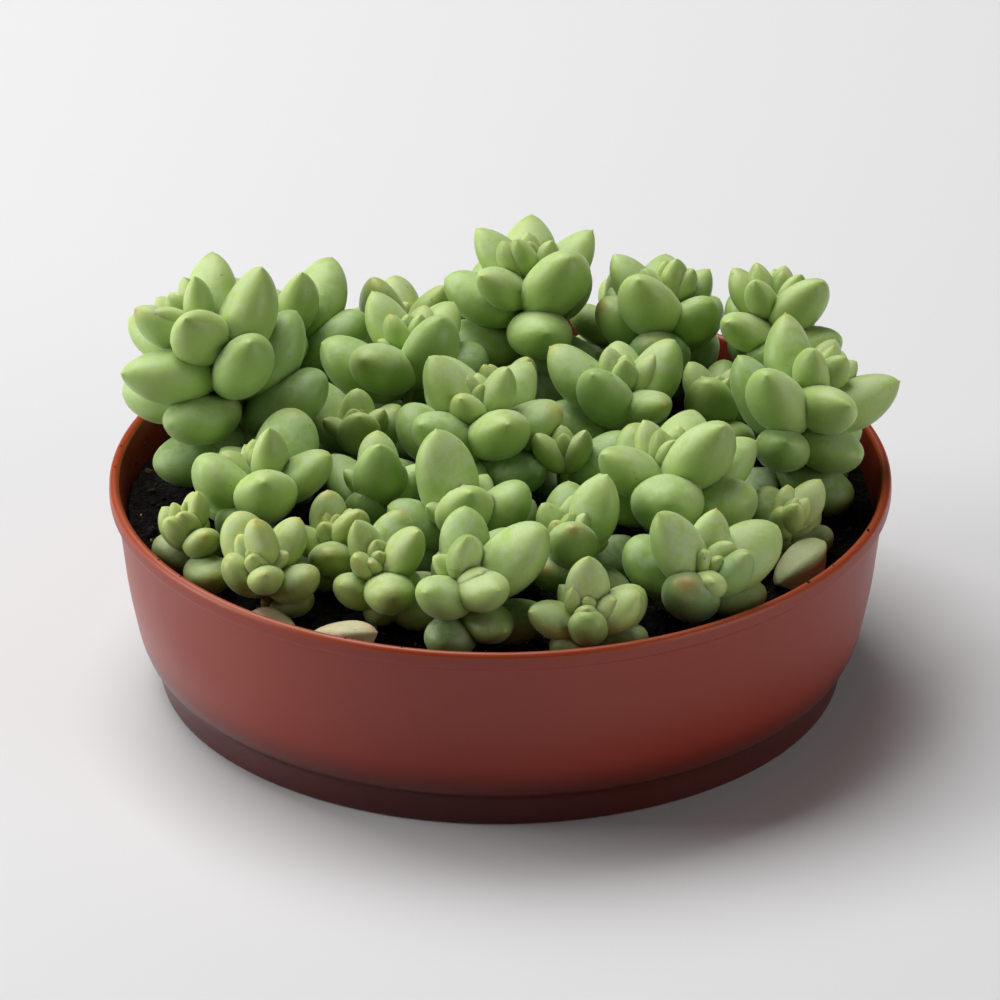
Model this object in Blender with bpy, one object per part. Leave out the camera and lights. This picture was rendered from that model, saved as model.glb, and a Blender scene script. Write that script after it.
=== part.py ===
"""A low plastic nursery bowl, filled with peat and planted with a clump of burrito sedum.

Metres, +Z up. The origin is on the bowl's axis, on the surface that it stands on. The side the
clump is seen from is -Y, and the tall shoots stand at its back and left.
"""
import math
from dataclasses import dataclass

import bmesh
import bpy
import numpy as np

MM = 0.001
# Clearance between pieces that touch
GAP = 0.3 * MM

# The bowl's driving dimensions
RIM_RADIUS = 60 * MM
POT_HEIGHT = 33 * MM
WALL = 1.2 * MM
LIP_HEIGHT = 2.8 * MM
LIP_OVERHANG = 1.0 * MM
LIP_ROLL = 0.8 * MM
FOOT_RADIUS = 52.6 * MM
FLOOR_UNDERSIDE = 1.5 * MM
FOOT_RING = 4 * MM
CENTRE_DISC = 13 * MM
DRAIN_HOLES = 6
DRAIN_RADIUS = 3.2 * MM
DRAIN_CIRCLE = 30 * MM
DRAIN_SIDES = 10
POT_SIDES = 40

# The peat
SOIL_DROP = 7 * MM
SOIL_LEVEL = POT_HEIGHT - SOIL_DROP
SOIL_ROUGHNESS = 0.7 * MM
SOIL_RINGS = 5
SOIL_SIDES = 30
HOLE_DEPTH = 7 * MM
HOLE_SIDES = 6

# The shoots
STEM_RADIUS = 1.3 * MM
STEM_SIDES = 6
STEM_BEND = 0.6
GOLDEN_ANGLE = math.radians(137.5)
LOWEST_LEAF = 0.16
SPACING_POWER = 0.85
LOWEST_CLIMB = math.radians(-4)
HIGHEST_CLIMB = math.radians(84)
CLIMB_POWER = 1.5
BEARING_JITTER = 0.16
CLIMB_JITTER = 0.11
LENGTH_JITTER = 0.08
LEAF_WIDTH = 0.70
LEAF_DEPTH = 0.80
LEAF_SEED = 11
# The share of a fused shoot's faces that stays when its slivers are collapsed
KEPT_FACES = 0.68

# Leaves grow longer up to the head's shoulder and are small at its middle, as shares of the
# shoot's leaf length
SHOULDER = 0.6
LOWEST_LENGTH = 0.84
SHOULDER_LENGTH = 0.99
MIDDLE_LENGTH = 0.39

# Places along a leaf and its width there, as shares of its length and of its widest
LEAF_RINGS = ((0.14, 0.28), (0.54, 1.04), (0.84, 0.82))
LEAF_SIDES = 5
LOOSE_SIDES = 8
# The core that the leaves of a head stand on, hidden among them
CORE_SHARE = 0.25
CORE_START = 0.14
CORE_RINGS = ((0.30, 1.0), (0.60, 0.95), (0.84, 0.66))

# A leaf swells from its root and closes to a blunt tip by these powers
SWELL = 0.62
CLOSE = 0.46
WIDEST = SWELL / (SWELL + CLOSE)

# Balls at these shares of a leaf's length stand for its thickness while the clump is eased
BEADS = np.array([0.30, 0.50, 0.70, 0.88])
# How far two leaves of one shoot may press into each other at each ball, as a share of its room
KIN_PRESS = np.array([0.62, 0.34, 0.16, 0.05])
# Leaves of two shoots keep this share of their room, and this much more, between them
KEEP_SHARE = 1.0
KEEP_CLEAR = 1.4 * GAP
# How deep a leaf may settle on the peat, and how high over the lip it counts as leaning out
SEAT = 0.90
OVER_LIP = 0.35
REACH = 24 * MM
TURN_RATE = 0.16
RETURN_RATE = 0.02
MOST_TRIM = 0.02
LEAST_LENGTH = 0.35
EASE_ROUNDS = 150
TRIM_AFTER = 80


@dataclass
class Shoot:
    """One leafy stem; places and sizes are in millimetres, turn is its first leaf's bearing."""
    name: str
    foot: tuple
    head: tuple
    rise: float
    leaves: int
    leaf: float
    turn: float


@dataclass
class LooseLeaf:
    """One shed leaf on the peat; middle is its middle seen from above, both in millimetres."""
    name: str
    middle: tuple
    length: float
    bearing: float
    tilt: float


SHOOTS = [
    Shoot("stem_01", (-38, 6), (-47, 8), 28.5, 20, 18.0, 210),
    Shoot("stem_02", (-14, 24), (-14, 25), 15.5, 11, 16.5, 185),
    Shoot("stem_03", (5, 38), (5, 38), 22.5, 17, 16.5, 215),
    Shoot("stem_04", (25, 34), (26, 34), 19.5, 14, 16.5, 280),
    Shoot("stem_05", (42, 4), (49, 6), 18.5, 16, 17.5, 260),
    Shoot("stem_06", (-3, 2), (-3, 1), 15.5, 16, 19.0, 35),
    Shoot("stem_07", (19, 12), (19, 12), 14.5, 11, 16.5, 125),
    Shoot("stem_08", (26, -14), (26, -14), 13.5, 14, 18.5, 210),
    Shoot("stem_09", (-5, -41), (-5, -43), 11.5, 12, 16.0, 285),
    Shoot("stem_10", (-35, -13), (-36, -13), 11.5, 11, 17.0, 310),
    Shoot("stem_11", (-46, -22), (-47, -22), 8.5, 9, 13.0, 310),
    Shoot("stem_12", (-35, -34), (-36, -35), 8.5, 9, 13.0, 165),
    Shoot("stem_13", (-18, -34), (-18, -36), 8.5, 10, 14.0, 105),
    Shoot("stem_14", (30, -37), (31, -39), 8.5, 9, 17.0, 310),
    Shoot("stem_15", (41, 27), (43, 29), 21.5, 15, 16.0, 110),
    Shoot("stem_16", (-32, 34), (-33, 36), 13.5, 11, 16.0, 0),
    Shoot("stem_17", (20, 49), (20, 50), 9.5, 9, 13.5, 0),
    Shoot("stem_18", (-19, -13), (-19, -13), 10.5, 9, 16.5, 0),
    Shoot("stem_19", (10, -5), (10, -5), 10.5, 7, 15.5, 150),
    Shoot("stem_20", (13, -46), (13, -48), 7.5, 9, 14.5, 40),
    Shoot("stem_21", (43, -17), (44, -17), 6.5, 7, 13.5, 70),
    Shoot("stem_22", (-6, -21), (-6, -22), 10.5, 10, 17.0, 230),
    Shoot("stem_23", (11, -28), (11, -29), 9.5, 9, 16.5, 120),
    Shoot("stem_24", (-22, 8), (-22, 8), 9.5, 9, 14.5, 20),
    Shoot("stem_25", (34, 17), (34, 17), 10.5, 9, 14.5, 90),
    Shoot("stem_26", (-15, 45), (-15, 46), 7.5, 9, 14.0, 60),
    Shoot("stem_27", (-25, -24), (-25, -24), 7.5, 8, 13.0, 60),
    Shoot("stem_28", (0, 20), (0, 20), 9.5, 8, 13.5, 200),
]

LOOSE_LEAVES = [
    LooseLeaf("leaf_loose_1", (-23.5, -46.5), 11.0, -22, 12),
    LooseLeaf("leaf_loose_2", (45.5, -25.0), 12.5, 58, 10),
    LooseLeaf("leaf_loose_3", (-34, -41.5), 8.0, 150, 12),
]


def clear_scene():
    for thing in list(bpy.data.objects):
        bpy.data.objects.remove(thing, do_unlink=True)


def material(name, colour, roughness):
    made = bpy.data.materials.new(name)
    made.use_nodes = True
    shader = made.node_tree.nodes["Principled BSDF"]
    shader.inputs["Base Color"].default_value = (*colour, 1)
    shader.inputs["Roughness"].default_value = roughness
    shader.inputs["Metallic"].default_value = 0
    return made


def add_object(name, points, faces, finish):
    """A closed mesh object with its faces turned outward."""
    mesh = bpy.data.meshes.new(name)
    mesh.from_pydata([tuple(point) for point in points], [], faces)
    work = bmesh.new()
    work.from_mesh(mesh)
    bmesh.ops.recalc_face_normals(work, faces=work.faces)
    work.to_mesh(mesh)
    work.free()
    mesh.shade_smooth()
    mesh.set_sharp_from_angle(angle=math.radians(35))
    mesh.materials.append(finish)
    made = bpy.data.objects.new(name, mesh)
    bpy.context.scene.collection.objects.link(made)
    return made


def ring_faces(rings, sides):
    """Side faces between rings of points, each ring stored after the one before."""
    faces = []
    for ring in range(rings - 1):
        for side in range(sides):
            after = (side + 1) % sides
            low = ring * sides
            high = low + sides
            faces.append((low + side, low + after, high + after, high + side))
    return faces


def turned(name, profile, sides, finish):
    """A profile of (radius, height), starting and ending on the axis, turned about it."""
    points = [(0, 0, profile[0][1])]
    for radius, height in profile[1:-1]:
        for side in range(sides):
            angle = 2 * math.pi * side / sides
            points.append((radius * math.cos(angle), radius * math.sin(angle), height))
    points.append((0, 0, profile[-1][1]))
    rings = len(profile) - 2
    faces = [tuple(index + 1 for index in face) for face in ring_faces(rings, sides)]
    last = len(points) - 1
    start = last - sides
    for side in range(sides):
        after = (side + 1) % sides
        faces.append((0, 1 + after, 1 + side))
        faces.append((last, start + side, start + after))
    return add_object(name, points, faces, finish)


def outer_wall():
    """The bowl's outside from its foot up to the lip, as (radius, height)."""
    return [
        (FOOT_RADIUS - 0.5 * MM, 0),
        (FOOT_RADIUS, 0.5 * MM),
        (RIM_RADIUS - 7.3 * MM, POT_HEIGHT - 28.6 * MM),
        (RIM_RADIUS - 6.6 * MM, POT_HEIGHT - 27.8 * MM),
        (RIM_RADIUS - 5.3 * MM, POT_HEIGHT - 26.6 * MM),
        (RIM_RADIUS - 4.4 * MM, POT_HEIGHT - 24.6 * MM),
        (RIM_RADIUS - 3.8 * MM, POT_HEIGHT - 22.0 * MM),
        (RIM_RADIUS - 2.6 * MM, POT_HEIGHT - 16.0 * MM),
        (RIM_RADIUS - 1.8 * MM, POT_HEIGHT - 9.0 * MM),
        (RIM_RADIUS - LIP_OVERHANG, POT_HEIGHT - LIP_HEIGHT),
    ]


def inner_wall():
    """The bowl's inside from its floor up to the lip, as (radius, height)."""
    floor = FLOOR_UNDERSIDE + WALL
    return [
        (FOOT_RADIUS - WALL - 1.0 * MM, floor),
        (FOOT_RADIUS - WALL, floor + 1.0 * MM),
        (RIM_RADIUS - 7.3 * MM - WALL, POT_HEIGHT - 28.2 * MM),
        (RIM_RADIUS - 5.4 * MM - WALL, POT_HEIGHT - 26.2 * MM),
        (RIM_RADIUS - 3.9 * MM - WALL, POT_HEIGHT - 22.0 * MM),
        (RIM_RADIUS - 2.6 * MM - WALL, POT_HEIGHT - 16.0 * MM),
        (RIM_RADIUS - 1.8 * MM - WALL, POT_HEIGHT - 9.0 * MM),
        (RIM_RADIUS - LIP_OVERHANG - WALL, POT_HEIGHT - LIP_HEIGHT),
    ]


def lip():
    """The rolled lip, from under its overhang over the top to the inside."""
    middle = RIM_RADIUS - LIP_ROLL
    roll = POT_HEIGHT - LIP_ROLL
    arc = [
        (middle + LIP_ROLL * math.cos(angle), roll + LIP_ROLL * math.sin(angle))
        for angle in np.radians([0, 45, 90, 135])
    ]
    return [
        (RIM_RADIUS - 0.3 * MM, POT_HEIGHT - LIP_HEIGHT),
        (RIM_RADIUS, POT_HEIGHT - LIP_HEIGHT + 0.4 * MM),
        *arc,
    ]


def make_pot(finish):
    ring_inside = FOOT_RADIUS - FOOT_RING
    underside = [
        (0, 0),
        (CENTRE_DISC, 0),
        (CENTRE_DISC + 0.8 * MM, FLOOR_UNDERSIDE),
        (ring_inside - 0.8 * MM, FLOOR_UNDERSIDE),
        (ring_inside, 0),
    ]
    inside = list(reversed(inner_wall())) + [(0, FLOOR_UNDERSIDE + WALL)]
    pot = turned("pot", underside + outer_wall() + lip() + inside, POT_SIDES, finish)
    drains = []
    for number in range(DRAIN_HOLES):
        angle = 2 * math.pi * (number + 0.5) / DRAIN_HOLES
        spot = (DRAIN_CIRCLE * math.cos(angle), DRAIN_CIRCLE * math.sin(angle))
        drains.append((*spot, -WALL, FLOOR_UNDERSIDE + 3 * WALL))
    cut_holes(pot, "drain_cutter", drains, DRAIN_RADIUS, DRAIN_SIDES)


def cut_holes(thing, name, holes, radius, sides):
    """Cut upright round holes, each given as x, y, bottom and top."""
    points = []
    faces = []
    for x, y, bottom, top in holes:
        first = len(points)
        for height in (bottom, top):
            for side in range(sides):
                angle = 2 * math.pi * (side + 0.5) / sides
                points.append((x + radius * math.cos(angle), y + radius * math.sin(angle), height))
        faces += [tuple(first + index for index in face) for face in ring_faces(2, sides)]
        faces.append(tuple(first + side for side in reversed(range(sides))))
        faces.append(tuple(first + sides + side for side in range(sides)))
    cutter = add_object(name, points, faces, thing.data.materials[0])
    cutter.hide_render = True
    cutter.display_type = "WIRE"
    cut = thing.modifiers.new(name, "BOOLEAN")
    cut.operation = "DIFFERENCE"
    cut.object = cutter


def soil_height(x, y):
    """Height of the peat's surface, gently uneven."""
    waves = np.sin(x * 95 + 1.3) * np.cos(y * 80 - 0.6) + 0.6 * np.sin(x * 210 - y * 170)
    return SOIL_LEVEL + SOIL_ROUGHNESS * waves


def make_soil(finish):
    """The peat: a plug that fills the bowl, with a plain hole for each stem."""
    wall = [(radius - 1.3 * GAP, height) for radius, height in inner_wall()]
    wall = [spot for spot in wall if spot[1] < SOIL_LEVEL - 1.5 * MM]
    wall[0] = (wall[0][0], wall[0][1] + GAP)
    edge = RIM_RADIUS - LIP_OVERHANG - WALL - 2.9 * GAP
    points = [(0, 0, wall[0][1])]
    for radius, height in wall:
        for side in range(SOIL_SIDES):
            angle = 2 * math.pi * side / SOIL_SIDES
            points.append((radius * math.cos(angle), radius * math.sin(angle), height))
    for ring in range(SOIL_RINGS, 0, -1):
        for side in range(SOIL_SIDES):
            angle = 2 * math.pi * (side + 0.5 * ((SOIL_RINGS - ring) % 2)) / SOIL_SIDES
            x = edge * ring / SOIL_RINGS * math.cos(angle)
            y = edge * ring / SOIL_RINGS * math.sin(angle)
            points.append((x, y, soil_height(x, y)))
    points.append((0, 0, soil_height(0, 0)))
    rings = len(wall) + SOIL_RINGS
    faces = [tuple(index + 1 for index in face) for face in ring_faces(rings, SOIL_SIDES)]
    last = len(points) - 1
    start = last - SOIL_SIDES
    for side in range(SOIL_SIDES):
        after = (side + 1) % SOIL_SIDES
        faces.append((0, 1 + after, 1 + side))
        faces.append((last, start + side, start + after))
    soil = add_object("soil", points, faces, finish)
    holes = []
    for shoot in SHOOTS:
        x, y, top = stem_point(shoot, 0)
        holes.append((x, y, top - HOLE_DEPTH, top + 3 * MM))
    wide = (STEM_RADIUS + GAP) / math.cos(math.pi / HOLE_SIDES)
    cut_holes(soil, "stem_hole_cutter", holes, wide, HOLE_SIDES)


def stem_point(shoot, along):
    """A point on the shoot's axis, from the peat (0) to the head (1)."""
    foot = np.array([*shoot.foot, 0.0]) * MM
    foot[2] = soil_height(foot[0], foot[1])
    head = np.array([*shoot.head, 0.0]) * MM
    head[2] = foot[2] + shoot.rise * MM
    bend = foot + [0, 0, STEM_BEND * shoot.rise * MM]
    return (1 - along) ** 2 * foot + 2 * along * (1 - along) * bend + along ** 2 * head


def unit(vector):
    return vector / np.linalg.norm(vector)


def taper(up):
    """A leaf's length at a share of the shoot's leaves, counted from the lowest."""
    if up < SHOULDER:
        return LOWEST_LENGTH + (SHOULDER_LENGTH - LOWEST_LENGTH) * up / SHOULDER
    past = (up - SHOULDER) / (1 - SHOULDER)
    return SHOULDER_LENGTH - (SHOULDER_LENGTH - MIDDLE_LENGTH) * past ** 2


def leaf_rule(shoot, draw):
    """Roots, directions, lengths and stem axes of one shoot's leaves in their spiral."""
    rows = []
    for number in range(shoot.leaves):
        up = number / (shoot.leaves - 1)
        along = LOWEST_LEAF + (1 - LOWEST_LEAF) * up ** SPACING_POWER
        axis = unit(stem_point(shoot, along) - stem_point(shoot, along - 0.08))
        side = unit(np.cross(axis, [0.3, 1.0, 0.1]))
        front = np.cross(axis, side)
        bearing = math.radians(shoot.turn) + number * GOLDEN_ANGLE + draw.normal(0, BEARING_JITTER)
        climb = LOWEST_CLIMB + (HIGHEST_CLIMB - LOWEST_CLIMB) * up ** CLIMB_POWER
        climb += draw.normal(0, CLIMB_JITTER)
        outward = math.cos(bearing) * side + math.sin(bearing) * front
        direction = math.cos(climb) * outward + math.sin(climb) * axis
        length = shoot.leaf * MM * taper(up) * (1 + draw.normal(0, LENGTH_JITTER))
        rows.append((stem_point(shoot, along), direction, length, axis))
    return rows


def loose_rule(loose):
    """Root, direction, length and upward axis of a shed leaf that lies on the peat."""
    length = loose.length * MM
    bearing = math.radians(loose.bearing)
    tilt = math.radians(loose.tilt)
    level = math.cos(tilt)
    way = np.array([math.cos(bearing) * level, math.sin(bearing) * level, math.sin(tilt)])
    middle = np.array([*loose.middle, 0.0]) * MM
    half_depth = 0.5 * LEAF_WIDTH * LEAF_DEPTH * length
    needs = []
    for place, share in LEAF_RINGS:
        spot = middle + way * length * (place - 0.5)
        needs.append(soil_height(spot[0], spot[1]) + half_depth * share - spot[2])
    middle[2] = max(needs) + GAP
    return middle - 0.5 * way * length, way, length, np.array([0.0, 0.0, 1.0])


def girth(place):
    """Half-width of a leaf at a place from its root (0) to its tip (1), as a share of its widest."""
    widest = WIDEST ** SWELL * (1 - WIDEST) ** CLOSE
    return np.power(place, SWELL) * np.power(1 - place, CLOSE) / widest


def bead_places(roots, ways, lengths):
    """Balls along each leaf that stand for its thickness."""
    reach = lengths[:, None] * BEADS
    centres = roots[:, None, :] + ways[:, None, :] * reach[:, :, None]
    radii = 0.5 * LEAF_WIDTH * lengths[:, None] * girth(BEADS)
    return centres.reshape(-1, 3), radii.reshape(-1)


def bead_pairs(roots, ways, lengths, owners):
    """Pairs of beads on different leaves that can ever meet, and how far each pair may press in."""
    leaf_of = np.repeat(np.arange(len(roots)), len(BEADS))
    place_of = np.tile(np.arange(len(BEADS)), len(roots))
    middles = roots + 0.5 * ways * lengths[:, None]
    spread = np.sqrt(((middles[:, None] - middles[None]) ** 2).sum(axis=2))
    close = (spread < REACH)[leaf_of[:, None], leaf_of[None, :]]
    first, second = np.nonzero(close & (leaf_of[:, None] < leaf_of[None, :]))
    kin = owners[leaf_of[first]] == owners[leaf_of[second]]
    # Leaves of one shoot press together, the more so the nearer to their roots
    inner = np.minimum(place_of[first], place_of[second])
    press = np.where(kin, KIN_PRESS[inner], 0.0)
    return first, second, kin, press


def crowding(points, sizes, pairs):
    """How each bead is shoved by other leaves, and how deep it sits in another shoot's."""
    first, second, kin, press = pairs
    gaps = points[first] - points[second]
    apart = np.sqrt((gaps ** 2).sum(axis=1)) + 1e-9
    room = sizes[first] + sizes[second]
    need = np.where(kin, room * (1 - press), room * KEEP_SHARE + KEEP_CLEAR)
    deep = np.maximum(need - apart, 0.0)
    shove = gaps / apart[:, None] * deep[:, None]
    push = np.zeros_like(points)
    np.add.at(push, first, shove)
    np.add.at(push, second, -shove)
    crowd = np.zeros(len(points))
    np.maximum.at(crowd, first[~kin], deep[~kin])
    np.maximum.at(crowd, second[~kin], deep[~kin])
    return push, crowd


def confine(points, sizes):
    """How each bead is kept off the peat, inside the bowl or above its lip."""
    floor = soil_height(points[:, 0], points[:, 1]) + SEAT * sizes + GAP
    sunk = np.maximum(floor - points[:, 2], 0.0)
    out = np.hypot(points[:, 0], points[:, 1])
    bowl = RIM_RADIUS - LIP_OVERHANG - WALL - 0.4 * MM
    low = points[:, 2] - sizes < POT_HEIGHT + 2 * GAP
    beyond = np.maximum(out + sizes + 2 * GAP - bowl, 0.0) * low
    high = points[:, 2] > POT_HEIGHT + OVER_LIP * sizes
    over = np.where(high & (beyond > 0), POT_HEIGHT + 2 * GAP + sizes - points[:, 2], 0.0)
    lift = np.maximum(over, 0.0)
    inward = np.where(high, 0.0, beyond)
    push = np.zeros_like(points)
    push[:, 2] = 2 * (sunk + lift)
    push[:, :2] = -2 * inward[:, None] * points[:, :2] / out[:, None]
    return push, np.maximum(np.maximum(sunk, inward), lift)


def ease(roots, ways, lengths, owners, fixed):
    """Turn crowded leaves apart about their roots, then trim what still touches another shoot."""
    wanted = ways.copy()
    full = lengths.copy()
    pairs = bead_pairs(roots, ways, lengths, owners)
    for step in range(EASE_ROUNDS):
        points, sizes = bead_places(roots, ways, lengths)
        shoved, crowd = crowding(points, sizes, pairs)
        held, tight = confine(points, sizes)
        turn = (shoved + held).reshape(len(roots), len(BEADS), 3).sum(axis=1)
        turn[fixed] = 0.0
        ways = ways + TURN_RATE * turn / lengths[:, None]
        if step < TRIM_AFTER:
            ways = ways + RETURN_RATE * (wanted - ways)
        ways = ways / np.linalg.norm(ways, axis=1)[:, None]
        if step >= TRIM_AFTER:
            worst = np.maximum(crowd, tight).reshape(len(roots), len(BEADS)).max(axis=1)
            worst[fixed] = 0.0
            trim = np.clip(worst / lengths, 0.0, MOST_TRIM)
            lengths = np.maximum(lengths * (1 - trim), LEAST_LENGTH * full)
    return ways, lengths


def lay_out():
    """Every leaf as owner, root, direction, length and the axis that its upper side faces."""
    draw = np.random.default_rng(LEAF_SEED)
    rows = []
    names = []
    for shoot in SHOOTS:
        for row in leaf_rule(shoot, draw):
            rows.append(row)
            names.append(shoot.name)
    for loose in LOOSE_LEAVES:
        rows.append(loose_rule(loose))
        names.append(loose.name)
    roots, ways, lengths, axes = (np.array(part) for part in zip(*rows))
    order = [shoot.name for shoot in SHOOTS] + [loose.name for loose in LOOSE_LEAVES]
    owners = np.array([order.index(name) for name in names])
    fixed = owners >= len(SHOOTS)
    ways, lengths = ease(roots, ways, lengths, owners, fixed)
    return list(zip(names, roots, ways, lengths, axes))


def leaf_frame(way, axis):
    """The leaf's sideways and upward directions."""
    side = unit(np.cross(axis + 0.01 * np.array([1.0, 0.3, 0.0]), way))
    return side, np.cross(way, side)


def leaf_points(root, way, length, axis, sides):
    """A faceted leaf: a narrow sunk root, two rings and a blunt point."""
    side, top = leaf_frame(way, axis)
    width = 0.5 * LEAF_WIDTH * length
    points = []
    for place, share in LEAF_RINGS:
        middle = root + way * length * place
        for number in range(sides):
            angle = 2 * math.pi * (number + 0.5) / sides
            across = side * math.cos(angle) * width * share
            through = top * math.sin(angle) * width * LEAF_DEPTH * share
            points.append(middle + across + through)
    points.append(root + way * length)
    faces = ring_faces(len(LEAF_RINGS), sides)
    faces.append(tuple(reversed(range(sides))))
    tip = len(points) - 1
    start = tip - sides
    for number in range(sides):
        faces.append((start + number, start + (number + 1) % sides, tip))
    return points, faces


def stem_tube(shoot, finish):
    """The bare stem, from the bottom of its hole up, with the slim core of its head."""
    foot = stem_point(shoot, 0)
    rings = [(foot - [0, 0, HOLE_DEPTH - GAP], STEM_RADIUS), (foot, STEM_RADIUS)]
    rings.append((stem_point(shoot, CORE_START), STEM_RADIUS))
    for along, share in CORE_RINGS:
        rings.append((stem_point(shoot, along), CORE_SHARE * shoot.leaf * MM * share))
    points = []
    for middle, radius in rings:
        for side in range(STEM_SIDES):
            angle = 2 * math.pi * side / STEM_SIDES
            out = np.array([math.cos(angle), math.sin(angle), 0.0]) * radius
            points.append(middle + out)
    points.append(stem_point(shoot, 1) + [0, 0, 0.5 * MM])
    faces = ring_faces(len(rings), STEM_SIDES)
    faces.append(tuple(reversed(range(STEM_SIDES))))
    last = len(points) - 1
    start = last - STEM_SIDES
    for side in range(STEM_SIDES):
        faces.append((start + side, start + (side + 1) % STEM_SIDES, last))
    return add_object(shoot.name, points, faces, finish)


def keep_outer_shell(thing):
    """Fill the hollows that fusing seals, by keeping only the mesh's largest connected shell."""
    work = bmesh.new()
    work.from_mesh(thing.data)
    left = set(work.verts)
    shells = []
    while left:
        shell = {left.pop()}
        edge = list(shell)
        while edge:
            for link in edge.pop().link_edges:
                for corner in link.verts:
                    if corner not in shell:
                        shell.add(corner)
                        edge.append(corner)
        left -= shell
        shells.append(shell)
    shells.sort(key=len)
    for shell in shells[:-1]:
        bmesh.ops.delete(work, geom=list(shell), context="VERTS")
    work.to_mesh(thing.data)
    work.free()


def make_shoot(shoot, leaves, finish):
    """One leafy stem: its leaves are fused to it, and to each other, in a single solid.

    The fused leaves meet in slivers, which are then collapsed.
    """
    stem = stem_tube(shoot, finish)
    bunch = bpy.data.collections.new(shoot.name + "_leaves")
    bpy.context.scene.collection.children.link(bunch)
    for number, (name, root, way, length, axis) in enumerate(leaves):
        points, faces = leaf_points(root, way, length, axis, LEAF_SIDES)
        leaf = add_object(f"{name}_leaf_{number}", points, faces, finish)
        bpy.context.scene.collection.objects.unlink(leaf)
        bunch.objects.link(leaf)
    join = stem.modifiers.new("leaves", "BOOLEAN")
    join.operation = "UNION"
    join.operand_type = "COLLECTION"
    join.collection = bunch
    bpy.context.view_layer.objects.active = stem
    bpy.ops.object.modifier_apply(modifier=join.name)
    for leaf in list(bunch.objects):
        bpy.data.objects.remove(leaf, do_unlink=True)
    bpy.data.collections.remove(bunch)
    keep_outer_shell(stem)
    thin = stem.modifiers.new("slivers", "DECIMATE")
    thin.ratio = KEPT_FACES
    bpy.ops.object.modifier_apply(modifier=thin.name)
    return stem


def main():
    clear_scene()
    terracotta = material("terracotta_plastic", (0.25, 0.055, 0.035), 0.42)
    peat = material("peat", (0.012, 0.009, 0.008), 0.95)
    green = material("sedum_leaf", (0.30, 0.43, 0.14), 0.55)
    faded = material("faded_leaf", (0.55, 0.50, 0.30), 0.70)
    make_pot(terracotta)
    make_soil(peat)
    leaves = lay_out()
    for shoot in SHOOTS:
        make_shoot(shoot, [leaf for leaf in leaves if leaf[0] == shoot.name], green)
    for name, root, way, length, axis in leaves[-len(LOOSE_LEAVES):]:
        points, faces = leaf_points(root, way, length, axis, LOOSE_SIDES)
        add_object(name, points, faces, faded)


main()
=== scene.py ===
"""Looks of a low plastic nursery bowl of burrito sedum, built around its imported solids.

Metres, +Z up, in the solids' own frame: the bowl stands on z = 0, about the z axis, and is seen
from -Y. Every leaf lies where the solids have it, because the layout is worked out by the same
rules; here it gets its full form, its bloom and its translucent flesh.
"""
import math
from dataclasses import dataclass

import bmesh
import bpy
import numpy as np
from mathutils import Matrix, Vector, noise


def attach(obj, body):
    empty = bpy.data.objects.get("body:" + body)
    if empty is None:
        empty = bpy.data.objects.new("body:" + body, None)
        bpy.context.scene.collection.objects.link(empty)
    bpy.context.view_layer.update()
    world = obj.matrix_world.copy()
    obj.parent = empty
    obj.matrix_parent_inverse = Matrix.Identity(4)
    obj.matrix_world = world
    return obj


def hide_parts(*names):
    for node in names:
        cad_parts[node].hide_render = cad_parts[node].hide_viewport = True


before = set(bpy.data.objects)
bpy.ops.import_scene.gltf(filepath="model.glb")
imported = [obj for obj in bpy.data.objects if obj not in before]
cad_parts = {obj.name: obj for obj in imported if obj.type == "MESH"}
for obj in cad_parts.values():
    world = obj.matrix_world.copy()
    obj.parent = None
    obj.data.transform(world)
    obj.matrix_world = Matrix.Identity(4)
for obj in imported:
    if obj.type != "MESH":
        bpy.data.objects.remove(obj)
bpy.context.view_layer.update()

MM = 0.001
# Clearance between pieces that touch
GAP = 0.3 * MM
UP = np.array([0.0, 0.0, 1.0])
# Keeps a division or a power clear of nought
TINY = 1e-9

# The bowl
RIM_RADIUS = 60 * MM
POT_HEIGHT = 33 * MM
WALL = 1.2 * MM
LIP_HEIGHT = 2.8 * MM
LIP_OVERHANG = 1.0 * MM
LIP_ROLL = 0.8 * MM
# The wall's inside, just under the lip
INSIDE_RADIUS = RIM_RADIUS - LIP_OVERHANG - WALL
FOOT_RADIUS = 52.6 * MM
FLOOR_UNDERSIDE = 1.5 * MM
FOOT_RING = 4 * MM
CENTRE_DISC = 13 * MM
DRAIN_HOLES = 6
DRAIN_RADIUS = 3.2 * MM
DRAIN_CIRCLE = 30 * MM
DRAIN_SIDES = 40
POT_SIDES = 180
# How far the thin wall strays from a true circle
WALL_WOBBLE = 0.22 * MM

# The peat
SOIL_DROP = 7 * MM
SOIL_LEVEL = POT_HEIGHT - SOIL_DROP
SOIL_ROUGHNESS = 0.7 * MM
SOIL_RINGS = 84
SOIL_SIDES = 220
HOLE_DEPTH = 7 * MM
# The peat rises a little against the wall, from this share of its radius outward
BANK = 0.9 * MM
BANK_FROM = 0.93
CRUMBS = 1500
CRUMB_SIZE = 0.32 * MM
STUCK_CRUMBS = 46
STUCK_SIZE = 0.17 * MM
FIBRES = 70
FIBRE_SIDES = 6
FIBRE_STEPS = 14

# The shoots
STEM_RADIUS = 1.3 * MM
STEM_SIDES = 14
STEM_RINGS = 26
STEM_BEND = 0.6
# The share of a stem's rings that stand in its hole, and where along them its axis begins
STEM_SUNK = 0.11
STEM_START = 0.12
GOLDEN_ANGLE = math.radians(137.5)
LOWEST_LEAF = 0.16
SPACING_POWER = 0.85
LOWEST_CLIMB = math.radians(-4)
HIGHEST_CLIMB = math.radians(84)
CLIMB_POWER = 1.5
BEARING_JITTER = 0.16
CLIMB_JITTER = 0.11
LENGTH_JITTER = 0.08
LEAF_WIDTH = 0.70
LEAF_DEPTH = 0.80
LEAF_SEED = 11

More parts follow.
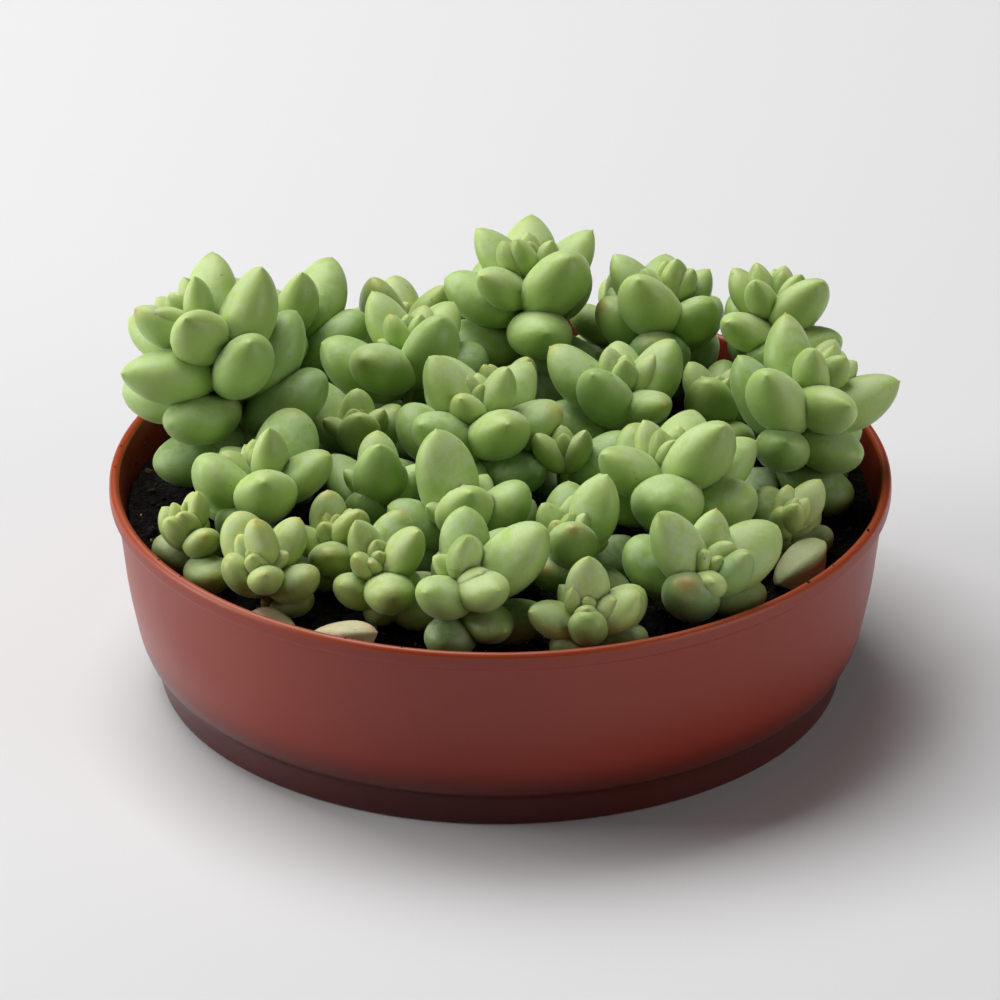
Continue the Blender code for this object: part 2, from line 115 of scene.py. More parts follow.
# Leaves grow longer up to the head's shoulder and are small at its middle, as shares of the
# shoot's leaf length
SHOULDER = 0.6
LOWEST_LENGTH = 0.84
SHOULDER_LENGTH = 0.99
MIDDLE_LENGTH = 0.39

# Where the solids' shed leaves measure their thickness
LOOSE_RINGS = ((0.14, 0.28), (0.54, 1.04), (0.84, 0.82))

# A leaf swells from its root and closes to a blunt tip by these powers
SWELL = 0.62
CLOSE = 0.46
WIDEST = SWELL / (SWELL + CLOSE)

# Balls at these shares of a leaf's length stand for its thickness while the clump is eased
BEADS = np.array([0.30, 0.50, 0.70, 0.88])
# How far two leaves of one shoot may press into each other at each ball, as a share of its room
KIN_PRESS = np.array([0.62, 0.34, 0.16, 0.05])
# Leaves of two shoots keep this share of their room, and this much more, between them
KEEP_SHARE = 1.0
KEEP_CLEAR = 1.4 * GAP
# How deep a leaf may settle on the peat, and how high over the lip it counts as leaning out
SEAT = 0.90
OVER_LIP = 0.35
# Leaves whose middles lie further apart than this never meet
REACH = 24 * MM
# In each round a leaf turns away from what crowds it and a little back to where its rule has it
EASE_ROUNDS = 150
TURN_RATE = 0.16
RETURN_RATE = 0.02
# The later rounds trim a crowded leaf, each by this share at most and never below the least length
TRIM_AFTER = 80
MOST_TRIM = 0.02
LEAST_LENGTH = 0.35

# The fine leaf's mesh
LEAF_RINGS = 22
LEAF_SIDES = 26

# The most pointed leaves close by a power this much higher, and are slimmer by this share
POINTED_CLOSE = 0.27
SLIMNESS = 0.12
# The upper half of a leaf is flatter than the lower, as shares of its depth
UPPER_HALF = 0.925
LOWER_HALF = 1.075
# Flats that its neighbours pressed into it, how long and how deep, and the ridge along its top
FLATS = 3
FLAT_REACH = 0.26
FLAT_DEPTH = (0.03, 0.08)
MOST_RIDGE = 0.035
# How far its middle sags, and strays to a side, as shares of its length
BELLY = (0.015, 0.055)
SWAY = 0.012

# The bud of young leaves in the middle of each head
BUD_LEAVES = 4
BUD_CLIMB = math.radians(56)
BUD_DEPTH = 0.9 * MM
BUD_LONGEST = 0.54
BUD_SHORTEST = 0.38
BUD_POINT = 0.7
BUD_AGE = 0.04

# Shoots whose leaves are shorter than this, in millimetres, have blunter ones
FULL_LEAF = 16
# Shoots whose leaves are shorter than this have a warmer colour, in full once they are shorter
# by the range
WARM_BELOW = 15.5
WARM_RANGE = 2.5

# Shed leaves: how dry and how pointed they are, where their flat sides face around their length,
# and from what length they still hold some green
WITHER = 0.12
SHED_POINT = 0.75
WEDGE_SIDES = np.radians([-90, 8, 74, 168])
WEDGE_POWER = 12
FRESH_LENGTH = 12 * MM

# Camera and light
ELEVATION = math.radians(27.0)
DISTANCE = 2.05
LENS = 480
SENSOR = 36
AIM = Vector((0.0, 0.0, 28.5 * MM))
LIT_SPOT = Vector((0.0, 0.0, 30 * MM))


@dataclass
class Shoot:
    """One leafy stem; places and sizes are in millimetres, turn is its first leaf's bearing."""
    name: str
    foot: tuple
    head: tuple
    rise: float
    leaves: int
    leaf: float
    turn: float


@dataclass
class LooseLeaf:
    """One shed leaf on the peat; middle is its middle seen from above, both in millimetres."""
    name: str
    middle: tuple
    length: float
    bearing: float
    tilt: float


SHOOTS = [
    Shoot("stem_01", (-38, 6), (-47, 8), 28.5, 20, 18.0, 210),
    Shoot("stem_02", (-14, 24), (-14, 25), 15.5, 11, 16.5, 185),
    Shoot("stem_03", (5, 38), (5, 38), 22.5, 17, 16.5, 215),
    Shoot("stem_04", (25, 34), (26, 34), 19.5, 14, 16.5, 280),
    Shoot("stem_05", (42, 4), (49, 6), 18.5, 16, 17.5, 260),
    Shoot("stem_06", (-3, 2), (-3, 1), 15.5, 16, 19.0, 35),
    Shoot("stem_07", (19, 12), (19, 12), 14.5, 11, 16.5, 125),
    Shoot("stem_08", (26, -14), (26, -14), 13.5, 14, 18.5, 210),
    Shoot("stem_09", (-5, -41), (-5, -43), 11.5, 12, 16.0, 285),
    Shoot("stem_10", (-35, -13), (-36, -13), 11.5, 11, 17.0, 310),
    Shoot("stem_11", (-46, -22), (-47, -22), 8.5, 9, 13.0, 310),
    Shoot("stem_12", (-35, -34), (-36, -35), 8.5, 9, 13.0, 165),
    Shoot("stem_13", (-18, -34), (-18, -36), 8.5, 10, 14.0, 105),
    Shoot("stem_14", (30, -37), (31, -39), 8.5, 9, 17.0, 310),
    Shoot("stem_15", (41, 27), (43, 29), 21.5, 15, 16.0, 110),
    Shoot("stem_16", (-32, 34), (-33, 36), 13.5, 11, 16.0, 0),
    Shoot("stem_17", (20, 49), (20, 50), 9.5, 9, 13.5, 0),
    Shoot("stem_18", (-19, -13), (-19, -13), 10.5, 9, 16.5, 0),
    Shoot("stem_19", (10, -5), (10, -5), 10.5, 7, 15.5, 150),
    Shoot("stem_20", (13, -46), (13, -48), 7.5, 9, 14.5, 40),
    Shoot("stem_21", (43, -17), (44, -17), 6.5, 7, 13.5, 70),
    Shoot("stem_22", (-6, -21), (-6, -22), 10.5, 10, 17.0, 230),
    Shoot("stem_23", (11, -28), (11, -29), 9.5, 9, 16.5, 120),
    Shoot("stem_24", (-22, 8), (-22, 8), 9.5, 9, 14.5, 20),
    Shoot("stem_25", (34, 17), (34, 17), 10.5, 9, 14.5, 90),
    Shoot("stem_26", (-15, 45), (-15, 46), 7.5, 9, 14.0, 60),
    Shoot("stem_27", (-25, -24), (-25, -24), 7.5, 8, 13.0, 60),
    Shoot("stem_28", (0, 20), (0, 20), 9.5, 8, 13.5, 200),
]

LOOSE_LEAVES = [
    LooseLeaf("leaf_loose_1", (-23.5, -46.5), 11.0, -22, 12),
    LooseLeaf("leaf_loose_2", (45.5, -25.0), 12.5, 58, 10),
    LooseLeaf("leaf_loose_3", (-34, -41.5), 8.0, 150, 12),
]


# Layout: where every leaf lies, by the same rules as the solids


def soil_height(x, y):
    """Height of the peat's surface, gently uneven."""
    waves = np.sin(x * 95 + 1.3) * np.cos(y * 80 - 0.6) + 0.6 * np.sin(x * 210 - y * 170)
    return SOIL_LEVEL + SOIL_ROUGHNESS * waves


def stem_point(shoot, along):
    """A point on the shoot's axis, from the peat (0) to the head (1)."""
    foot = np.array([*shoot.foot, 0.0]) * MM
    foot[2] = soil_height(foot[0], foot[1])
    head = np.array([*shoot.head, 0.0]) * MM
    head[2] = foot[2] + shoot.rise * MM
    bend = foot + [0, 0, STEM_BEND * shoot.rise * MM]
    return (1 - along) ** 2 * foot + 2 * along * (1 - along) * bend + along ** 2 * head


def unit(vector):
    """The vector at length one."""
    return vector / np.linalg.norm(vector)


def taper(up):
    """A leaf's length at a share of the shoot's leaves, counted from the lowest."""
    if up < SHOULDER:
        return LOWEST_LENGTH + (SHOULDER_LENGTH - LOWEST_LENGTH) * up / SHOULDER
    past = (up - SHOULDER) / (1 - SHOULDER)
    return SHOULDER_LENGTH - (SHOULDER_LENGTH - MIDDLE_LENGTH) * past ** 2


def spiral_way(axis, bearing, climb):
    """A leaf's direction, by its bearing about the stem and its climb towards the stem's tip."""
    side = unit(np.cross(axis, [0.3, 1.0, 0.1]))
    front = np.cross(axis, side)
    outward = math.cos(bearing) * side + math.sin(bearing) * front
    return math.cos(climb) * outward + math.sin(climb) * axis


def leaf_rule(shoot, draw):
    """Roots, directions, lengths and stem axes of one shoot's leaves in their spiral."""
    rows = []
    for number in range(shoot.leaves):
        up = number / (shoot.leaves - 1)
        along = LOWEST_LEAF + (1 - LOWEST_LEAF) * up ** SPACING_POWER
        axis = unit(stem_point(shoot, along) - stem_point(shoot, along - 0.08))
        bearing = math.radians(shoot.turn) + number * GOLDEN_ANGLE + draw.normal(0, BEARING_JITTER)
        climb = LOWEST_CLIMB + (HIGHEST_CLIMB - LOWEST_CLIMB) * up ** CLIMB_POWER
        climb += draw.normal(0, CLIMB_JITTER)
        length = shoot.leaf * MM * taper(up) * (1 + draw.normal(0, LENGTH_JITTER))
        rows.append((stem_point(shoot, along), spiral_way(axis, bearing, climb), length, axis))
    return rows


def loose_rule(loose):
    """Root, direction, length and upward axis of a shed leaf that lies on the peat."""
    length = loose.length * MM
    bearing = math.radians(loose.bearing)
    tilt = math.radians(loose.tilt)
    level = math.cos(tilt)
    way = np.array([math.cos(bearing) * level, math.sin(bearing) * level, math.sin(tilt)])
    middle = np.array([*loose.middle, 0.0]) * MM
    half_depth = 0.5 * LEAF_WIDTH * LEAF_DEPTH * length
    needs = []
    for place, share in LOOSE_RINGS:
        spot = middle + way * length * (place - 0.5)
        needs.append(soil_height(spot[0], spot[1]) + half_depth * share - spot[2])
    middle[2] = max(needs) + GAP
    return middle - 0.5 * way * length, way, length, UP


def girth(place):
    """Half-width of a leaf at a place from its root (0) to its tip (1), as a share of its widest."""
    widest = WIDEST ** SWELL * (1 - WIDEST) ** CLOSE
    return np.power(place, SWELL) * np.power(1 - place, CLOSE) / widest


def bead_places(roots, ways, lengths):
    """Balls along each leaf that stand for its thickness."""
    reach = lengths[:, None] * BEADS
    centres = roots[:, None, :] + ways[:, None, :] * reach[:, :, None]
    radii = 0.5 * LEAF_WIDTH * lengths[:, None] * girth(BEADS)
    return centres.reshape(-1, 3), radii.reshape(-1)


def bead_pairs(roots, ways, lengths, owners):
    """Pairs of beads on different leaves that can ever meet, and how far each pair may press in."""
    leaf_of = np.repeat(np.arange(len(roots)), len(BEADS))
    place_of = np.tile(np.arange(len(BEADS)), len(roots))
    middles = roots + 0.5 * ways * lengths[:, None]
    spread = np.sqrt(((middles[:, None] - middles[None]) ** 2).sum(axis=2))
    close = (spread < REACH)[leaf_of[:, None], leaf_of[None, :]]
    first, second = np.nonzero(close & (leaf_of[:, None] < leaf_of[None, :]))
    kin = owners[leaf_of[first]] == owners[leaf_of[second]]
    # Leaves of one shoot press together, the more so the nearer to their roots
    inner = np.minimum(place_of[first], place_of[second])
    press = np.where(kin, KIN_PRESS[inner], 0.0)
    return first, second, kin, press


def crowding(points, sizes, pairs):
    """How each bead is shoved by other leaves, and how deep it sits in another shoot's."""
    first, second, kin, press = pairs
    gaps = points[first] - points[second]
    apart = np.sqrt((gaps ** 2).sum(axis=1)) + TINY
    room = sizes[first] + sizes[second]
    need = np.where(kin, room * (1 - press), room * KEEP_SHARE + KEEP_CLEAR)
    deep = np.maximum(need - apart, 0.0)
    shove = gaps / apart[:, None] * deep[:, None]
    push = np.zeros_like(points)
    np.add.at(push, first, shove)
    np.add.at(push, second, -shove)
    crowd = np.zeros(len(points))
    np.maximum.at(crowd, first[~kin], deep[~kin])
    np.maximum.at(crowd, second[~kin], deep[~kin])
    return push, crowd


def confine(points, sizes):
    """How each bead is kept off the peat, inside the bowl or above its lip."""
    floor = soil_height(points[:, 0], points[:, 1]) + SEAT * sizes + GAP
    sunk = np.maximum(floor - points[:, 2], 0.0)
    out = np.hypot(points[:, 0], points[:, 1])
    bowl = INSIDE_RADIUS - 0.4 * MM
    low = points[:, 2] - sizes < POT_HEIGHT + 2 * GAP
    beyond = np.maximum(out + sizes + 2 * GAP - bowl, 0.0) * low
    high = points[:, 2] > POT_HEIGHT + OVER_LIP * sizes
    over = np.where(high & (beyond > 0), POT_HEIGHT + 2 * GAP + sizes - points[:, 2], 0.0)
    lift = np.maximum(over, 0.0)
    inward = np.where(high, 0.0, beyond)
    push = np.zeros_like(points)
    push[:, 2] = 2 * (sunk + lift)
    push[:, :2] = -2 * inward[:, None] * points[:, :2] / out[:, None]
    return push, np.maximum(np.maximum(sunk, inward), lift)


def ease(roots, ways, lengths, owners, fixed):
    """Turn crowded leaves apart about their roots, then trim what still touches another shoot."""
    wanted = ways.copy()
    full = lengths.copy()
    pairs = bead_pairs(roots, ways, lengths, owners)
    for step in range(EASE_ROUNDS):
        points, sizes = bead_places(roots, ways, lengths)
        shoved, crowd = crowding(points, sizes, pairs)
        held, tight = confine(points, sizes)
        turn = (shoved + held).reshape(len(roots), len(BEADS), 3).sum(axis=1)
        turn[fixed] = 0.0
        ways = ways + TURN_RATE * turn / lengths[:, None]
        if step < TRIM_AFTER:
            ways = ways + RETURN_RATE * (wanted - ways)
        ways = ways / np.linalg.norm(ways, axis=1)[:, None]
        if step >= TRIM_AFTER:
            worst = np.maximum(crowd, tight).reshape(len(roots), len(BEADS)).max(axis=1)
            worst[fixed] = 0.0
            trim = np.clip(worst / lengths, 0.0, MOST_TRIM)
            lengths = np.maximum(lengths * (1 - trim), LEAST_LENGTH * full)
    return ways, lengths


def lay_out():
    """Every leaf as owner, root, direction, length and the axis that its upper side faces."""
    draw = np.random.default_rng(LEAF_SEED)
    rows = []
    names = []
    for shoot in SHOOTS:
        for row in leaf_rule(shoot, draw):
            rows.append(row)
            names.append(shoot.name)
    for loose in LOOSE_LEAVES:
        rows.append(loose_rule(loose))
        names.append(loose.name)
    roots, ways, lengths, axes = (np.array(part) for part in zip(*rows))
    order = [shoot.name for shoot in SHOOTS] + [loose.name for loose in LOOSE_LEAVES]
    owners = np.array([order.index(name) for name in names])
    fixed = owners >= len(SHOOTS)
    ways, lengths = ease(roots, ways, lengths, owners, fixed)
    return list(zip(names, roots, ways, lengths, axes))


def leaf_frame(way, axis):
    """The leaf's sideways and upward directions."""
    side = unit(np.cross(axis + 0.01 * np.array([1.0, 0.3, 0.0]), way))
    return side, np.cross(way, side)


# Shading: short ways to write material nodes


def linear(red, green, blue):
    """A colour picked on a screen, 0 to 255, as the shader's linear values."""
    values = []
    for level in (red, green, blue):
        share = level / 255
        values.append(share / 12.92 if share <= 0.04045 else ((share + 0.055) / 1.055) ** 2.4)
    return (*values, 1.0)


class Shade:
    """One material's node tree, with a method for each kind of step that it needs."""

    def __init__(self, name):
        self.material = bpy.data.materials.new(name)
        self.material.use_nodes = True
        self.tree = self.material.node_tree
        self.shader = self.tree.nodes["Principled BSDF"]
        self.place = self.node("ShaderNodeTexCoord").outputs["Object"]

    def node(self, kind, inputs=(), **settings):
        """A new node with its settings, and its inputs fed by name or by number."""
        made = self.tree.nodes.new(kind)
        for key, value in settings.items():
            setattr(made, key, value)
        for key, value in dict(inputs).items():
            self.feed(made.inputs[key], value)
        return made

    def feed(self, socket, value):
        """Link a socket to another node's output, or set its value."""
        if isinstance(value, bpy.types.NodeSocket):
            self.tree.links.new(value, socket)
        else:
            socket.default_value = value

    def set(self, **values):
        """Set or link the surface shader's sockets, with _ for each space in their names."""
        for key, value in values.items():
            self.feed(self.shader.inputs[key.replace("_", " ")], value)

    def sum(self, first, second):
        """Two values added."""
        made = self.node("ShaderNodeMath", {0: first, 1: second}, operation="ADD")
        return made.outputs[0]

    def product(self, first, *others):
        """Two or more values multiplied."""
        for other in others:
            made = self.node("ShaderNodeMath", {0: first, 1: other}, operation="MULTIPLY")
            first = made.outputs[0]
        return first

    def mix(self, share, first, second):
        """Two colours mixed; a mix node's colour sockets come after those for other kinds."""
        made = self.node("ShaderNodeMix", {0: share, 6: first, 7: second}, data_type="RGBA")
        return made.outputs[2]

    def span(self, value, low, high, start=0.0, end=1.0, smooth=True):
        """Map low..high of a value to start..end, smoothly and clamped."""
        kind = "SMOOTHSTEP" if smooth else "LINEAR"
        numbers = enumerate((value, low, high, start, end))
        made = self.node("ShaderNodeMapRange", numbers, interpolation_type=kind, clamp=True)
        return made.outputs[0]

    def noise(self, scale, detail, rough=0.55, distort=0.0):
        """Cloudy noise about 0.5, with scale blobs to the metre."""
        made = self.node("ShaderNodeTexNoise", {
            "Vector": self.place,
            "Scale": scale,
            "Detail": detail,
            "Roughness": rough,
            "Distortion": distort,
        })
        return made.outputs["Fac"]

    def cells(self, scale):
        """Distance to the middle of the nearest cell."""
        made = self.node("ShaderNodeTexVoronoi", {"Vector": self.place, "Scale": scale})
        return made.outputs["Distance"]

    def ramp(self, value, stops):
        """A colour for each value, from stops of (value, colour)."""
        made = self.node("ShaderNodeValToRGB", {"Fac": value})
        marks = made.color_ramp.elements
        while len(marks) < len(stops):
            marks.new(0.5)
        for mark, (place, colour) in zip(marks, stops):
            mark.position = place
            mark.color = colour
        return made.outputs["Color"]

    def data(self, name):
        """A value that the mesh holds at each point."""
        return self.node("ShaderNodeAttribute", attribute_name=name).outputs["Fac"]

    def height(self):
        """Height over the surface that the bowl stands on."""
        return self.node("ShaderNodeSeparateXYZ", {"Vector": self.place}).outputs["Z"]

    def bump(self, height, distance, strength, below=None):
        """The surface raised by a height, over another bump where one is given."""
        made = self.node("ShaderNodeBump", {
            "Height": height,
            "Distance": distance,
            "Strength": strength,
        })
        if below is not None:
            self.feed(made.inputs["Normal"], below)
        return made.outputs["Normal"]


def leaf_finish():
    """Fleshy pale green leaf: bloom, painted light on top, painted shade below and at the root, warm
    tip.
    """
    shade = Shade("sedum_leaf")
    along = shade.data("along")
    flank = shade.data("flank")
    chance = shade.data("chance")
    warmth = shade.data("warmth")

    # Flesh: darker with age, painted shade darker on the underside, yellower on small shoots, faintly
    # mottled
    years = shade.sum(shade.data("age"), shade.span(chance, 0.0, 1.0, -0.16, 0.16, smooth=False))
    flesh = shade.ramp(years, [
        (0.0, linear(182, 203, 106)),
        (0.35, linear(171, 202, 94)),
        (0.7, linear(140, 178, 76)),
        (1.0, linear(80, 122, 46)),
    ])
    flesh = shade.mix(shade.span(warmth, 0.0, 1.0, 0.0, 0.32), flesh, linear(188, 190, 78))
    # Painted shade: each leaf darker and deeper green on its underside
    flesh = shade.mix(shade.span(flank, -0.9, 0.25, 0.42, 0.0), flesh, linear(70, 116, 36))
    mottle = shade.span(shade.noise(260, 4, 0.6), 0.35, 0.75, 0.0, 0.25)
    flesh = shade.mix(mottle, flesh, linear(172, 192, 94))

    # Bloom: a pale powder rubbed off in patches and at the tip, made thicker on the upper side as
    # painted light
    patches = shade.span(shade.noise(420, 5, 0.62, distort=0.6), 0.30, 0.66)
    grains = shade.span(shade.noise(5200, 2, 0.5), 0.30, 0.70, 0.72, 1.0)
    # Painted light: the powder is paler and thicker on the upper side, where the light falls
    facing = shade.span(flank, -0.5, 0.85, 0.08, 1.0)
    rubbed = shade.span(along, 0.86, 1.0, 1.0, 0.45)
    bloom_and_painted_top_light = shade.product(patches, grains, facing, rubbed)
    bloom_and_painted_top_light = shade.span(bloom_and_painted_top_light, 0.0, 1.0, 0.13, 0.61, smooth=False)
    colour = shade.mix(bloom_and_painted_top_light, flesh, linear(201, 217, 183))

    # Warm tips, the more so on some leaves and on small shoots, a few with a red point
    some = shade.span(chance, 0.6, 1.0, 0.0, 0.3)
    small = shade.span(warmth, 0.0, 1.0, 0.0, 0.25)
    tip = shade.product(shade.span(along, 0.84, 1.0), shade.sum(some, small))
    colour = shade.mix(tip, colour, linear(216, 206, 120))
    reddened = shade.span(chance, 0.90, 0.98, 0.0, 0.35)
    point = shade.product(shade.span(along, 0.965, 1.0), reddened)
    colour = shade.mix(point, colour, linear(196, 120, 84))

    # Painted shade darkening each leaf towards its root, down in the crevices, and a few tiny scars
    root = shade.span(along, 0.08, 0.34, 0.55, 0.0)
    colour = shade.mix(root, colour, linear(74, 112, 36))
    scars = shade.span(shade.noise(900, 2, 0.4), 0.735, 0.775, 0.0, 0.55)
    colour = shade.mix(scars, colour, linear(150, 128, 78))

    shade.set(Base_Color=colour)
    shade.set(Roughness=shade.span(bloom_and_painted_top_light, 0.10, 0.50, 0.36, 0.58, smooth=False))
    shade.set(Specular_IOR_Level=0.42, Subsurface_Weight=0.22, Subsurface_Scale=0.0018)
    shade.set(Subsurface_Radius=(0.75, 1.0, 0.28), Sheen_Weight=0.18, Sheen_Roughness=0.4)
    skin = shade.bump(shade.noise(4200, 2, 0.55), 0.00005, 0.5)
    shade.set(Normal=shade.bump(shade.noise(330, 3, 0.5), 0.0005, 0.28, skin))
    return shade.material


def stem_finish():
    """Pale green stem, brown and scarred near the peat."""
    shade = Shade("sedum_stem")
    streak = shade.noise(900, 4, 0.6)
    young = shade.mix(streak, linear(150, 166, 92), linear(176, 176, 110))
    old = shade.mix(streak, linear(92, 70, 44), linear(138, 112, 72))
    ripe = shade.span(shade.data("along"), 0.15, 0.55)
    shade.set(Base_Color=shade.mix(ripe, old, young), Roughness=0.62)
    shade.set(Subsurface_Weight=0.15, Subsurface_Scale=0.001, Subsurface_Radius=(0.8, 0.8, 0.3))
    shade.set(Normal=shade.bump(streak, 0.0003, 0.6))
    return shade.material


def faded_finish():
    """Shed leaf: straw and faint pink, wrinkled, browning in spots, a fresher one still greenish."""
    shade = Shade("faded_leaf")
    colour = shade.ramp(shade.noise(340, 4, 0.6), [
        (0.25, linear(176, 184, 132)),
        (0.5, linear(200, 194, 154)),
        (0.75, linear(210, 178, 150)),
    ])
    brown = shade.span(shade.noise(700, 4, 0.6), 0.60, 0.72, 0.0, 0.5)
    colour = shade.mix(brown, colour, linear(150, 108, 70))
    tip = shade.span(shade.data("along"), 0.86, 1.0, 0.0, 0.4)
    colour = shade.mix(tip, colour, linear(170, 110, 82))
    green = shade.span(shade.data("fresh"), 0.0, 1.0, 0.0, 0.6)
    colour = shade.mix(green, colour, linear(150, 172, 112))
    shade.set(Base_Color=colour, Roughness=0.55, Subsurface_Weight=0.3, Subsurface_Scale=0.0015)
    shade.set(Subsurface_Radius=(1.0, 0.8, 0.5))
    shade.set(Normal=shade.bump(shade.noise(1500, 4, 0.6), 0.0002, 0.6))
    return shade.material


def pot_finish():
    """Terracotta-brown polypropylene, satin; painted orange highlight on the lip, painted shade low
    down.
    """
    shade = Shade("terracotta_plastic")
    height = shade.height()
    body = shade.mix(shade.noise(26, 1, 0.5), linear(128, 33, 16), linear(144, 43, 24))
    # Painted highlight: the top of the lip is mixed towards a bright orange, as if lit from above
    painted_lip_highlight = shade.span(height, POT_HEIGHT - 1.1 * MM, POT_HEIGHT - 0.4 * MM)
    colour = shade.mix(painted_lip_highlight, body, linear(158, 56, 8))
    # Painted shade: the colour darkens towards the foot of the wall
    painted_low_shade = shade.span(height, POT_HEIGHT - 28 * MM, POT_HEIGHT - 20 * MM, 0.76, 0.0)
    colour = shade.mix(painted_low_shade, colour, linear(26, 4, 3))

    # Faint dust that grows towards the lip
    dust = shade.product(shade.noise(22, 1, 0.5), shade.span(height, 8 * MM, 22 * MM, 0.02, 0.10))
    colour = shade.mix(dust, colour, linear(176, 140, 122))
    shade.set(Base_Color=colour)
    worn = shade.span(shade.noise(30, 1, 0.5), 0.3, 0.7, 0.27, 0.36)
    shade.set(Roughness=shade.sum(worn, dust), Specular_IOR_Level=0.42)
    shade.set(Subsurface_Weight=0.12, Subsurface_Scale=0.002, Subsurface_Radius=(1.0, 0.35, 0.2))
    shade.set(Normal=shade.bump(shade.noise(46, 1, 0.4), 0.0012, 0.30))
    return shade.material


def soil_finish():
    """Damp peat, near black, with browner crumbs and fine grain."""
    shade = Shade("peat")
    grain = shade.noise(1300, 5, 0.68)
    colour = shade.ramp(grain, [
        (0.30, linear(5, 4, 3)),
        (0.52, linear(14, 10, 7)),
        (0.68, linear(34, 24, 16)),
        (0.82, linear(70, 50, 34)),
    ])
    shade.set(Base_Color=colour, Specular_IOR_Level=0.15)
    shade.set(Roughness=shade.span(shade.noise(500, 3), 0.35, 0.65, 0.62, 0.95))
    fine = shade.bump(grain, 0.0006, 0.9)
    shade.set(Normal=shade.bump(shade.cells(1100), 0.0008, 0.7, fine))
    return shade.material


def crumb_finish():
    """Loose peat crumbs and bark bits, each its own brown, with a few pale mineral grains."""
    shade = Shade("peat_crumbs")
    colour = shade.ramp(shade.data("chance"), [
        (0.0, linear(14, 11, 9)),
        (0.45, linear(32, 24, 18)),
        (0.75, linear(62, 43, 29)),
        (0.93, linear(98, 70, 46)),
        (0.965, linear(178, 166, 146)),
        (1.0, linear(204, 196, 180)),
    ])
    grain = shade.noise(2600, 4, 0.65)
    colour = shade.mix(shade.span(grain, 0.4, 0.7, 0.0, 0.5), colour, linear(12, 9, 8))
    shade.set(Base_Color=colour, Roughness=0.88, Specular_IOR_Level=0.3)
    shade.set(Normal=shade.bump(grain, 0.0003, 0.9))
    return shade.material


def fibre_finish():
    """Fine roots and plant fibres in the peat."""
    shade = Shade("peat_fibre")
    colour = shade.mix(shade.data("chance"), linear(48, 32, 20), linear(150, 116, 78))
    shade.set(Base_Color=colour, Roughness=0.8)
    shade.set(Normal=shade.bump(shade.noise(3000, 2), 0.0001, 0.5))
    return shade.material


# Meshes


def new_object(name, data):
    """A new object of the scene for a mesh, a lamp or a camera."""
    made = bpy.data.objects.new(name, data)
    bpy.context.scene.collection.objects.link(made)
    return made


class Bunch:
    """Points, faces and per-point values of one piece, gathered part by part."""

    def __init__(self):
        self.points = []
        self.faces = []
        self.finishes = []
        self.values = {}
        self.count = 0

    def add(self, points, faces, finish=0, **values):
        """Take in a form, the number of its finish and what its finish reads, one or per point."""
        self.points.append(np.asarray(points, float))
        self.faces += [tuple(index + self.count for index in face) for face in faces]
        self.finishes += [finish] * len(faces)
        for key, value in values.items():
            spread = np.broadcast_to(np.asarray(value, float), (len(points),))
            self.values.setdefault(key, []).append(spread)
        self.count += len(points)

    def build(self, name, finishes):
        """The gathered forms as one smooth object."""
        mesh = bpy.data.meshes.new(name)
        mesh.from_pydata(np.concatenate(self.points).tolist(), [], self.faces)
        for key, parts in self.values.items():
            layer = mesh.attributes.new(key, "FLOAT", "POINT")
            layer.data.foreach_set("value", np.concatenate(parts).astype(np.float32))
        for finish in finishes:
            mesh.materials.append(finish)
        mesh.polygons.foreach_set("material_index", self.finishes)
        mesh.shade_smooth()
        return new_object(name, mesh)


def full_turn(sides):
    """Evenly spaced angles all the way round."""
    return 2 * np.pi * np.arange(sides) / sides


def polar(radius, angle, height=0.0):
    """A point, or many, at a radius and an angle about the z axis and at a height."""
    spots = np.broadcast_arrays(radius * np.cos(angle), radius * np.sin(angle), height)
    return np.stack(spots, axis=-1)


def capped_faces(rings, sides):
    """Faces of a closed form: the first point, rings of points, then the last point."""
    faces = []
    start = (rings - 1) * sides + 1
    for low in range(1, start, sides):
        for side in range(sides):
            after = (side + 1) % sides
            high = low + sides
            faces.append((low + side, low + after, high + after, high + side))
    last = start + sides
    for side in range(sides):
        after = (side + 1) % sides
        faces.append((0, 1 + after, 1 + side))
        faces.append((last, start + side, start + after))
    return faces


def closed_form(first, rings, last):
    """Points and faces of a closed form, from its first point, its rings and its last point."""
    points = np.concatenate([[first], *rings, [last]])
    return points, capped_faces(len(rings), len(rings[0]))


LEAF_FACES = capped_faces(LEAF_RINGS, LEAF_SIDES)
LEAF_ALONG = 0.5 - 0.5 * np.cos(np.pi * np.arange(1, LEAF_RINGS + 1) / (LEAF_RINGS + 1))
LEAF_AROUND = full_turn(LEAF_SIDES)


def pressed(along, around, draw):
    """Shares of a leaf's width: flats where neighbours pressed it, and a soft ridge along its top."""
    press = np.ones((LEAF_RINGS, LEAF_SIDES))
    for middle in draw.uniform(0, 2 * np.pi, FLATS):
        reach = np.exp(-((along - draw.uniform(0.35, 0.65)) / FLAT_REACH) ** 2)
        press -= draw.uniform(*FLAT_DEPTH) * reach * np.maximum(np.cos(around - middle), 0) ** 3
    ridge = np.maximum(np.sin(around), 0) ** 14 * along * (1 - along) * 4
    return press + draw.uniform(0.0, MOST_RIDGE) * ridge


def dried(press, along, around, wither):
    """A leaf's shares once it has sunk in between a few ridges, like a blunt wedge, and furrowed."""
    facing = TINY
    for side in WEDGE_SIDES:
        facing = facing + np.maximum(np.cos(around - side - 0.4 * along), 0) ** WEDGE_POWER
    wedge = facing ** (-1 / WEDGE_POWER)
    furrows = np.sin(around * 7 + along * 3) + 0.6 * np.sin(around * 11 - along * 9 + 1)
    return press * wedge * (1 - 1.5 * wither) + 0.14 * wither * furrows * (0.4 + along)


